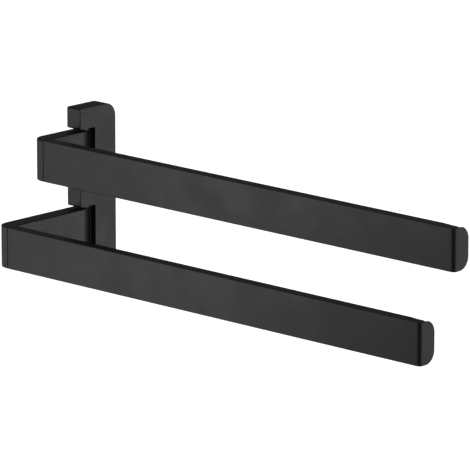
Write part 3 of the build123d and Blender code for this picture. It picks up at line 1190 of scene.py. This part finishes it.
@dataclass
class SwingArm:
    """One arm: a cast leg with its bushes and washers, and a flat bar with an end lip."""

    side: str
    body: Body
    line: HingeLine
    finishes: Finishes
    gap: float = 1.4
    corner: float = 12.0
    nose_length: float = 12.6
    nose_tip: float = -13.2
    leg_rim: float = 0.8
    seam_round: float = 0.9
    bar_thick: float = 9.5
    bar_rim: float = 0.6
    seam_ease: float = 0.5
    seam_soft: float = 0.15
    seam_clear: float = 4.0
    lip_thick: float = 6.0
    lip_corner: float = 10.0
    bend: float = 3.0
    sink_length: float = 9.0
    tenon_thick: float = 5.0
    tenon_height: float = 24.0
    socket_rim: float = 0.2
    socket_open: float = 1.0
    screw_x: float = 11.7
    screw_radius: float = 2.5
    screw_socket: float = 2.5
    screw_recess: float = 0.4
    screw_flare: float = 0.25
    bush_radius: float = 5.0
    bush_length: float = 13.0
    bush_flare: float = 0.3
    bush_ease: float = 0.15
    flange_radius: float = 6.5
    flange_thick: float = 0.9
    washer_thick: float = 0.4
    washer_ease: float = 0.08
    spring_thick: float = 0.2
    spring_ease: float = 0.04
    spring_waves: int = 3
    spring_wave: float = 0.13
    spring_clearance: float = 0.02
    tenon_start: float = field(init=False)
    front: float = field(init=False)
    low: float = field(init=False)
    projection: float = field(init=False)
    lip_end: float = field(init=False)
    high: float = field(init=False)
    leg_back: float = field(init=False)
    leg_front: float = field(init=False)

    def __post_init__(self) -> None:
        """Take the arm's overall sizes from its bar and its leg in the frame."""
        bar_low, bar_high = node_box(f"{self.side}_arm_bar")
        self.tenon_start, self.front, self.low = bar_low
        self.projection, self.lip_end, self.high = bar_high
        leg_low, leg_high = node_box(f"{self.side}_arm_leg")
        self.leg_back, self.leg_front = leg_low[0], leg_high[0]

    @property
    def half_height(self) -> float:
        """Half the arm's height."""
        return (self.high - self.low) / 2

    @property
    def middle_z(self) -> float:
        """Height of the arm's middle."""
        return (self.high + self.low) / 2

    @property
    def middle_y(self) -> float:
        """Y midway between the bar's two faces."""
        return self.front + self.bar_thick / 2

    @property
    def lip_start(self) -> float:
        """Y at which the lip's corners start."""
        return self.lip_end - self.lip_corner

    @property
    def bend_start(self) -> float:
        """X at which the inner face starts to bend into the lip."""
        return self.projection - self.lip_thick - self.bend

    def leg_outline(self) -> np.ndarray:
        """Plan of the leg, anticlockwise from its back face.

        A quarter circle turns from the back face to the bar's front plane. The square
        corner at the seam is eased. The far end is half an ellipse, as thick as the leg.

        Returns:
            Points of shape (points, 2).
        """
        turn, ease, half = self.corner, self.seam_round, (self.leg_front - self.leg_back) / 2
        corner_centre = (self.leg_back + turn, self.front + turn)
        seam_centre = (self.leg_front - ease, self.front + ease)
        nose_centre = (self.leg_back + half, self.nose_tip - self.nose_length)
        return np.concatenate([
            arc(corner_centre, (turn, turn), 2 * QUARTER_TURN, 3 * QUARTER_TURN, steps=32),
            arc(seam_centre, (ease, ease), -QUARTER_TURN, 0.0, steps=4),
            arc(nose_centre, (half, self.nose_length), 0.0, 2 * QUARTER_TURN, steps=64),
        ])

    def leg(self) -> bpy.types.Mesh:
        """The leg with its bush bore, the socket for the bar and the screw hole.

        Returns:
            The mesh.
        """
        blank = block(self.leg_outline(), self.low, self.high, self.leg_rim).mesh("leg")
        bore = through_tool(self.bush_radius, self.low, self.high, self.bush_flare)
        half_thick, half_tall = self.tenon_thick / 2, self.tenon_height / 2
        inner = (self.tenon_start, self.middle_y - half_thick, self.middle_z - half_tall)
        socket_end = self.leg_front + self.socket_open
        outer = (socket_end, self.middle_y + half_thick, self.middle_z + half_tall)
        hole = blind_tool(self.screw_radius, self.low, self.middle_z, self.screw_flare, 64)
        hole = hole.moved(self.screw_x, self.middle_y)
        tools = [self.line.on_axis(bore), box(inner, outer, self.socket_rim), hole]
        return carve(blank, tools, "DIFFERENCE")

    def lip_drop(self, y: np.ndarray) -> np.ndarray:
        """How far the lip's rounded corner brings its edge below the bar's.

        With p the distance past the corner's start and R its radius, the drop is
        R - sqrt(R^2 - p^2).

        Args:
            y: Y of each point.

        Returns:
            One drop for each point.
        """
        past = np.clip(y - self.lip_start, 0.0, self.lip_corner)
        return self.lip_corner - np.sqrt(self.lip_corner**2 - past**2)

    def edge_line(self, x: np.ndarray, y: np.ndarray, drop: np.ndarray | float) -> np.ndarray:
        """X, Y and half height along one face, each of them a number or one per station."""
        return np.stack(np.broadcast_arrays(x, y, self.half_height - drop), axis=1)

    def tenon_stations(self) -> BarLine:
        """The tenon in the leg's socket, and the eased step from it up to the bar.

        Returns:
            Its stations, from the tenon's end.
        """
        ease, soft, start, seam = self.seam_ease, self.seam_soft, self.tenon_start, self.leg_front
        x = np.array([start, start + ease, seam, seam, seam + soft, seam + ease])
        trim = np.array([ease, 0.0, 0.0, ease, soft, 0.0])
        tenon = np.array([True, True, True, False, False, False])
        thick = np.where(tenon, self.tenon_thick / 2, self.bar_thick / 2) - trim
        drop = self.half_height - np.where(tenon, self.tenon_height / 2, self.half_height) + trim
        outer = self.edge_line(x, self.middle_y - thick, drop)
        return BarLine(outer, self.edge_line(x, self.middle_y + thick, drop))

    def run_stations(self) -> BarLine:
        """The straight bar, whose inner edge sinks to the lip's height just before the bend.

        The outer point runs ahead of the inner one by the square of the share of the last
        stretch, so that both reach their arcs together, and the inner edge sinks by the
        smooth step 3 s^2 - 2 s^3 of that share.

        Returns:
            Its stations, from the leg's side.
        """
        sink_start = self.bend_start - self.sink_length
        plain = np.linspace(self.leg_front + self.seam_clear, sink_start, 11, endpoint=False)
        share = np.linspace(0.0, 1.0, 9)
        x = np.concatenate([plain, sink_start + self.sink_length * share])
        late = np.concatenate([np.zeros(plain.size), share])
        ahead = (self.projection - self.bend - self.bend_start) * late**2
        inner_y = np.full(x.size, self.front + self.bar_thick)
        sink = self.lip_drop(inner_y) * late**2 * (3.0 - 2.0 * late)
        return BarLine(self.edge_line(x + ahead, self.front, 0.0), self.edge_line(x, inner_y, sink))

    def bend_stations(self) -> BarLine:
        """The bend: both faces follow a quarter circle of the same radius.

        Returns:
            Its stations, after the straight bar's last one.
        """
        turn = np.linspace(0.0, QUARTER_TURN, 13)[1:]
        along, across = self.bend * np.sin(turn), self.bend * (1.0 - np.cos(turn))
        inner_y = self.front + self.bar_thick + across
        outer = self.edge_line(self.projection - self.bend + along, self.front + across, 0.0)
        return BarLine(outer, self.edge_line(self.bend_start + along, inner_y, self.lip_drop(inner_y)))

    def lip_stations(self) -> BarLine:
        """The lip, round its free corners to the tip.

        The outer face takes equal steps of angle round the corner; the inner face starts
        at the angle whose sine is its distance past the corner's start over the radius.

        Returns:
            Its stations, after the bend's last one.
        """
        steps = 17
        bend_end = self.front + self.bar_thick + self.bend
        begin = math.asin((bend_end - self.lip_start) / self.lip_corner)
        outer_lean = np.linspace(0.0, QUARTER_TURN, steps)
        inner_lean = np.linspace(begin, QUARTER_TURN, steps + 1)[1:]
        outer_y = self.lip_start + self.lip_corner * np.sin(outer_lean)
        inner_y = self.lip_start + self.lip_corner * np.sin(inner_lean)
        outer = self.edge_line(self.projection, outer_y, self.lip_drop(outer_y))
        inner = self.edge_line(self.projection - self.lip_thick, inner_y, self.lip_drop(inner_y))
        return BarLine(outer, inner, outer_lean, inner_lean)

    def blade(self) -> Shell:
        """The bar with its tenon and lip, as one closed surface.

        Stations run from the tenon's end, along the bar and round the bend to the lip's
        tip, and each one is a rounded rectangle from the outer face to the inner face. At
        the tip the upper and lower edges are sealed by a row of faces between them.

        Returns:
            The shell.
        """
        bar = BarLine.chained(
            [self.tenon_stations(), self.run_stations(), self.bend_stations(), self.lip_stations()]
        )
        through = (bar.inner - bar.outer)[:, :2]
        through = through / np.linalg.norm(through, axis=1, keepdims=True)
        near = rounded_edge(bar.outer, through, bar.outer_lean, self.bar_rim)
        far = rounded_edge(bar.inner, -through, bar.inner_lean, self.bar_rim)[:, ::-1]
        upper = np.concatenate([near, far], axis=1)
        rings = np.concatenate([upper, upper[:, ::-1] * np.array([1.0, 1.0, -1.0])], axis=1)
        rows, columns = rings.shape[:2]
        tip = (rows - 1) * columns
        step = np.arange(columns // 2 - 1)
        seal = tip + np.stack([step, step + 1, columns - 2 - step, columns - 1 - step], axis=1)
        faces = quads_between(rows, columns).tolist() + [list(range(columns))[::-1]] + seal.tolist()
        return Shell(rings.reshape(-1, 3), faces).moved(z=self.middle_z)

    def bush(self, facing: Facing) -> Shell:
        """A flanged bush, turned from its section; its flange lies on the leg's face.

        Args:
            facing: UP for the bush in the top face, DOWN for the one in the underside.

        Returns:
            The shell.
        """
        inner = self.line.pin_radius + self.line.running_clearance
        section = np.array([
            (inner, self.flange_thick),
            (self.flange_radius, self.flange_thick),
            (self.flange_radius, 0.0),
            (self.bush_radius, 0.0),
            (self.bush_radius, -self.bush_length),
            (inner, -self.bush_length),
        ])
        section = cut_corners(section, self.bush_ease) * np.array([1.0, facing.value])
        face_z = self.high if facing is Facing.UP else self.low
        return self.line.on_axis(turned_ring(section), face_z)

    def thrust_washer(self) -> Shell:
        """The flat washer that the arm rests on.

        Returns:
            The shell.
        """
        section = self.line.washer_section(self.flange_radius, 0.0, self.washer_thick, self.washer_ease)
        return self.line.on_axis(turned_ring(section), self.low - self.gap)

    def friction_washer(self) -> Shell:
        """The sprung washer above the arm: low waves round a thin ring.

        The height of every point is raised by the wave's size times the cosine of the
        number of waves times its angle.

        Returns:
            The shell.
        """
        half = self.spring_thick / 2
        section = self.line.washer_section(self.flange_radius, -half, half, self.spring_ease)
        wave = self.spring_wave * np.cos(self.spring_waves * angles_round(TURN_STEPS))
        below = half + self.spring_wave + self.spring_clearance
        return self.line.on_axis(turned_ring(section, wave), self.high + self.gap - below)

    def build(self) -> None:
        """Make the leg, bar, grub screw, bushes and washers of this arm."""
        self.put("leg_casting", self.leg(), Slot.SATIN_BLACK, "arm_leg", self.body)
        self.put("flat_bar", self.blade().mesh("bar"), Slot.SATIN_BLACK, "arm_bar", self.body)
        start = self.low + self.screw_recess
        length = self.middle_z - self.tenon_height / 2 - start
        screw = GrubScrew(self.screw_radius, length, self.screw_socket).shell()
        screw = screw.moved(self.screw_x, self.middle_y, start).mesh("screw")
        self.put("bar_grub_screw", screw, Slot.BLACK_OXIDE, "bar_set_screw", self.body)
        upper = self.bush(Facing.UP).mesh("bush")
        self.put("upper_flanged_bush", upper, Slot.BUSH_POLYMER, "top_bush", self.body)
        lower = self.bush(Facing.DOWN).mesh("bush")
        self.put("lower_flanged_bush", lower, Slot.BUSH_POLYMER, "bottom_bush", self.body)
        spring = self.friction_washer().mesh("washer")
        self.put("waved_washer", spring, Slot.SPRING_STEEL, "friction_washer", Body.WALL_UNIT)
        flat = self.thrust_washer().mesh("washer")
        self.put("flat_washer", flat, Slot.WASHER_POLYMER, "thrust_washer", Body.WALL_UNIT)

    def put(self, name: str, data: bpy.types.Mesh, slot: Slot, node: str, body: Body) -> None:
        """Place one of this arm's pieces, named after the arm's side."""
        piece, stands_for = f"{self.side}_{name}", f"{self.side}_{node}"
        place(piece, data, body, self.finishes.of(slot), stands_for)


@dataclass
class WallFixing:
    """The bracket on the wall, and its two wood screws and washers."""

    finishes: Finishes
    spacing: float = 70.0
    head_radius: float = 4.6
    head_height: float = 3.2
    dome_share: float = 0.8
    skirt_ease: float = 0.1
    cross_length: float = 4.4
    cross_width: float = 1.1
    cross_depth: float = 1.9
    cross_side_step: float = 0.12
    cross_end_step: float = 0.3
    cross_rise: float = 0.35
    neck_radius: float = 2.5
    neck_length: float = 4.5
    neck_ease: float = 0.15
    root_radius: float = 1.55
    crest_radius: float = 2.2
    length: float = 30.0
    tip: float = 5.0
    tip_share: float = 0.03
    pitch: float = 1.8
    ridge_share: float = 0.32
    ridge_power: float = 1.3
    thread_gap: float = 0.3
    thread_fade: float = 1.5
    turns: int = 64
    thread_rings: int = 220

    def head(self) -> np.ndarray:
        """Rings of the pan head from the middle of its top to the shank's neck.

        The top is a dome that falls with the fourth power of the distance from its middle.
        The cross recess is sunk where a point is within half the cross's width of one of
        its two arms and half its length of the centre, with a soft step at the edges.

        Returns:
            Rings of shape (rings, turns, 3).
        """
        angle = angles_round(self.turns)
        share = np.concatenate([np.linspace(0.02, 0.5, 22), np.linspace(0.52, 1.0, 12)])[:, None]
        radius = share * self.head_radius * np.ones(self.turns)
        narrow = np.minimum(np.abs(radius * np.cos(angle)), np.abs(radius * np.sin(angle)))
        within_side = (self.cross_width / 2 - narrow) / self.cross_side_step + 0.5
        within_end = (self.cross_length / 2 - radius) / self.cross_end_step + 0.5
        inside = np.clip(within_side, 0.0, 1.0) * np.clip(within_end, 0.0, 1.0)
        dome = self.head_height * (1.0 - self.dome_share * share**4)
        recess = self.cross_depth * inside * (1.0 - self.cross_rise * radius / self.cross_length)
        top = rings_about_z(radius, dome - recess, self.turns)
        under = self.head_radius - self.skirt_ease
        skirt_radii = np.array([self.head_radius, under, self.neck_radius + self.neck_ease])
        skirt_heights = np.array([self.skirt_ease, 0.0, 0.0])
        return np.concatenate([top, rings_about_z(skirt_radii, skirt_heights, self.turns)])

    def shank(self) -> np.ndarray:
        """Rings of the neck and the threaded shank, down to the tip.

        The thread's height is the depth times a sharp ridge of the phase, which is the
        height over the pitch less the angle over a full turn. It fades in below the neck
        and shrinks with the core towards the tip. The core narrows there mostly with the
        square root of the distance that is left, which gives a blunt point.

        Returns:
            Rings of shape (rings, turns, 3).
        """
        start = self.neck_length + self.thread_gap
        below = np.linspace(start, self.length, self.thread_rings)[:, None]
        phase = np.mod(below / self.pitch - angles_round(self.turns) / (2.0 * np.pi), 1.0)
        ridge = np.clip(1.0 - np.abs(phase - 0.5) / self.ridge_share, 0.0, 1.0) ** self.ridge_power
        to_tip = np.clip((self.length - below) / self.tip, 0.0, 1.0)
        taper = np.sqrt(to_tip) * 0.94 + 0.06 * to_tip
        core = self.root_radius * np.maximum(taper, self.tip_share)
        fade = np.clip((below - start) / self.thread_fade, 0.0, 1.0) * np.clip(3.0 * to_tip, 0.0, 1.0)
        thread = core + (self.crest_radius - self.root_radius) * ridge * fade
        neck_heights = np.array([-self.neck_ease, -self.neck_length])
        return np.concatenate([
            rings_about_z(np.full(2, self.neck_radius), neck_heights, self.turns),
            rings_about_z(thread, -below[:, 0], self.turns),
        ])

    def build(self) -> None:
        """Make the screws, and dress the bracket and the washers."""
        under_head = node_box("fixing_washers")[1][0]
        screw = loft(np.concatenate([self.head(), self.shank()])).laid_along_x()
        upper = screw.moved(under_head, 0.0, self.spacing / 2)
        lower = screw.moved(under_head, 0.0, -self.spacing / 2)
        data = upper.joined(lower).mesh("screws")
        zinc = self.finishes.of(Slot.ZINC_PLATE)
        place("wood_screws", data, Body.WALL_UNIT, zinc, "fixing_screws")
        for node in ("wall_bracket", "fixing_washers"):
            for holder in frame["nodes"][node].material_slots:
                holder.material = zinc
            log.info("%s: dressed in %s", node, zinc.name)


# ---------------------------------------------------------------- studio


@dataclass(frozen=True)
class Panel:
    """A rectangular soft light that faces the rack."""

    name: str
    azimuth: float
    elevation: float
    distance: float
    width: float
    height: float
    power: float


@dataclass(frozen=True)
class Sweep:
    """A curved row of soft strips that stand side by side round the rack."""

    name: str
    first_azimuth: float
    elevation: float
    distance: float
    height: float
    powers: tuple[float, ...]
    step: float = 10.0

    def panels(self) -> list[Panel]:
        """The strips of the row, each as wide as its share of the circle; a zero leaves a gap.

        Returns:
            One panel for each power above zero, one step of azimuth apart.
        """
        width = self.distance * math.radians(self.step)
        return [
            Panel(f"{self.name} {number}", self.first_azimuth + number * self.step, self.elevation,
                  self.distance, width, self.height, power)
            for number, power in enumerate(self.powers) if power > 0.0
        ]


def heading(azimuth: float, elevation: float) -> Vector:
    """The unit direction at this azimuth and elevation, in degrees."""
    round_z, up = math.radians(azimuth), math.radians(elevation)
    return Vector((math.cos(round_z) * math.cos(up), math.sin(round_z) * math.cos(up), math.sin(up)))


def face(item: bpy.types.Object, direction: Vector) -> None:
    """Turn a light or a camera to look along a direction, level."""
    item.rotation_euler = direction.to_track_quat("-Z", "Y").to_euler()


@dataclass
class Studio:
    """Pale floor, soft panels and the camera."""

    aim: tuple[float, float, float] = (0.2, -0.05, 0.0)
    floor_z: float = -1.2
    floor_size: float = 60.0
    floor_tone: float = 0.9
    camera_at: tuple[float, float, float] = (2.9113, -2.9194, 0.9625)
    camera_azimuth: float = 133.3283
    camera_elevation: float = -13.7124
    lens: float = 403.68
    sensor: float = 36.0
    ambient: float = 0.08
    wash_power: float = 3600.0
    wash_above: float = 0.6
    sweeps: tuple[Sweep, ...] = (
        Sweep("left level", 195.0, -10.0, 1.1, 0.38, (0.21, 0.23, 0.06, 0.5, 0.49, 0.0, 0.0, 0.2)),
        Sweep("left low", 195.0, -30.0, 1.1, 0.38, (0.17, 0.07, 0.11, 0.09, 0.0, 0.0, 0.08, 0.24)),
        Sweep("left high", 195.0, 10.0, 1.1, 0.38, (0.06, 0.1, 0.17, 0.18, 0.16, 0.09, 0.06, 0.07)),
        Sweep("right level", 15.0, -12.0, 1.2, 0.7, (1.0, 0.28, 0.0, 0.5, 1.3)),
    )
    panels: tuple[Panel, ...] = (
        Panel("overhead", 135.0, 60.0, 2.0, 1.6, 1.0, 1.1),
        Panel("ceiling", 135.0, 85.0, 2.0, 2.0, 2.0, 5.0),
        Panel("below", 45.0, -89.0, 1.0, 2.0, 2.0, 3.0),
        Panel("near low", 313.0, -40.0, 1.3, 0.8, 0.4, 1.9),
        Panel("far low", 135.0, -25.0, 1.3, 1.6, 0.5, 5.0),
    )

    def floor(self) -> None:
        """The pale floor, wide enough to fill every view."""
        half, level = self.floor_size / 2, self.floor_z
        corners = [(-half, -half, level), (half, -half, level),
                   (half, half, level), (-half, half, level)]
        data = bpy.data.meshes.new("floor")
        data.from_pydata(corners, [], [(0, 1, 2, 3)])
        material = bpy.data.materials.new("Pale floor")
        material.use_nodes = True
        Wiring(material.node_tree).feed(material.node_tree.nodes["Principled BSDF"], {
            "Base Color": (self.floor_tone, self.floor_tone, self.floor_tone, 1.0),
            "Roughness": 0.9,
            "Specular IOR Level": 0.1,
        })
        data.materials.append(material)
        ground = stand("floor", data)
        ground.visible_glossy = False
        ground.visible_diffuse = False

    def light(self, panel: Panel) -> None:
        """One soft panel, facing the rack.

        Args:
            panel: Its place and size.
        """
        data = bpy.data.lights.new(panel.name, "AREA")
        data.shape = "RECTANGLE"
        data.size, data.size_y = panel.width, panel.height
        data.energy = panel.power
        lamp = stand(panel.name, data)
        towards = heading(panel.azimuth, panel.elevation)
        lamp.location = Vector(self.aim) + towards * panel.distance
        face(lamp, -towards)
        lamp.visible_camera = False

    def wash(self) -> None:
        """A wide lamp just above the floor that keeps it pale all over."""
        data = bpy.data.lights.new("floor wash", "AREA")
        data.shape = "SQUARE"
        data.size = self.floor_size / 2
        data.energy = self.wash_power
        lamp = stand("floor wash", data)
        lamp.location = (0.0, 0.0, self.floor_z + self.wash_above)
        lamp.visible_camera = False
        lamp.visible_glossy = False

    def world(self) -> None:
        """A pale surround for the camera, and a dim one for light and reflections."""
        surround = bpy.data.worlds.new("studio")
        bpy.context.scene.world = surround
        surround.use_nodes = True
        wiring = Wiring(surround.node_tree)
        seen = wiring.add("ShaderNodeLightPath").outputs["Is Camera Ray"]
        dim = (self.ambient, self.ambient, self.ambient, 1.0)
        feeds = {"Factor": seen, "A": dim, "B": (1.0, 1.0, 1.0, 1.0)}
        choice = wiring.add("ShaderNodeMix", feeds, data_type="RGBA")
        wiring.feed(surround.node_tree.nodes["Background"], {"Color": choice.outputs["Result"]})

    def camera(self) -> None:
        """The camera, level, with a long lens."""
        data = bpy.data.cameras.new("camera")
        data.lens = self.lens
        data.sensor_width = self.sensor
        data.clip_end = 200.0
        view = stand("camera", data)
        view.location = self.camera_at
        face(view, heading(self.camera_azimuth, self.camera_elevation))
        bpy.context.scene.camera = view

    def build(self) -> None:
        """Set up the whole studio."""
        self.camera()
        self.floor()
        self.wash()
        self.world()
        rows = [panel for sweep in self.sweeps for panel in sweep.panels()]
        for panel in rows + list(self.panels):
            self.light(panel)
        bpy.context.scene.view_settings.view_transform = "Standard"


def main() -> None:
    """Build the rack and the studio, in order."""
    logging.basicConfig(level=logging.INFO, format="%(name)s: %(message)s")
    finishes = Finishes()
    axis_x, axis_y, _ = joint_place("upper_arm_swing")
    line = HingeLine(axis_x, axis_y)
    HingeBody(line, finishes).build()
    SwingArm("upper", Body.UPPER_ARM, line, finishes).build()
    SwingArm("lower", Body.LOWER_ARM, line, finishes).build()
    WallFixing(finishes).build()
    Studio().build()


if __name__ == "__main__":
    main()
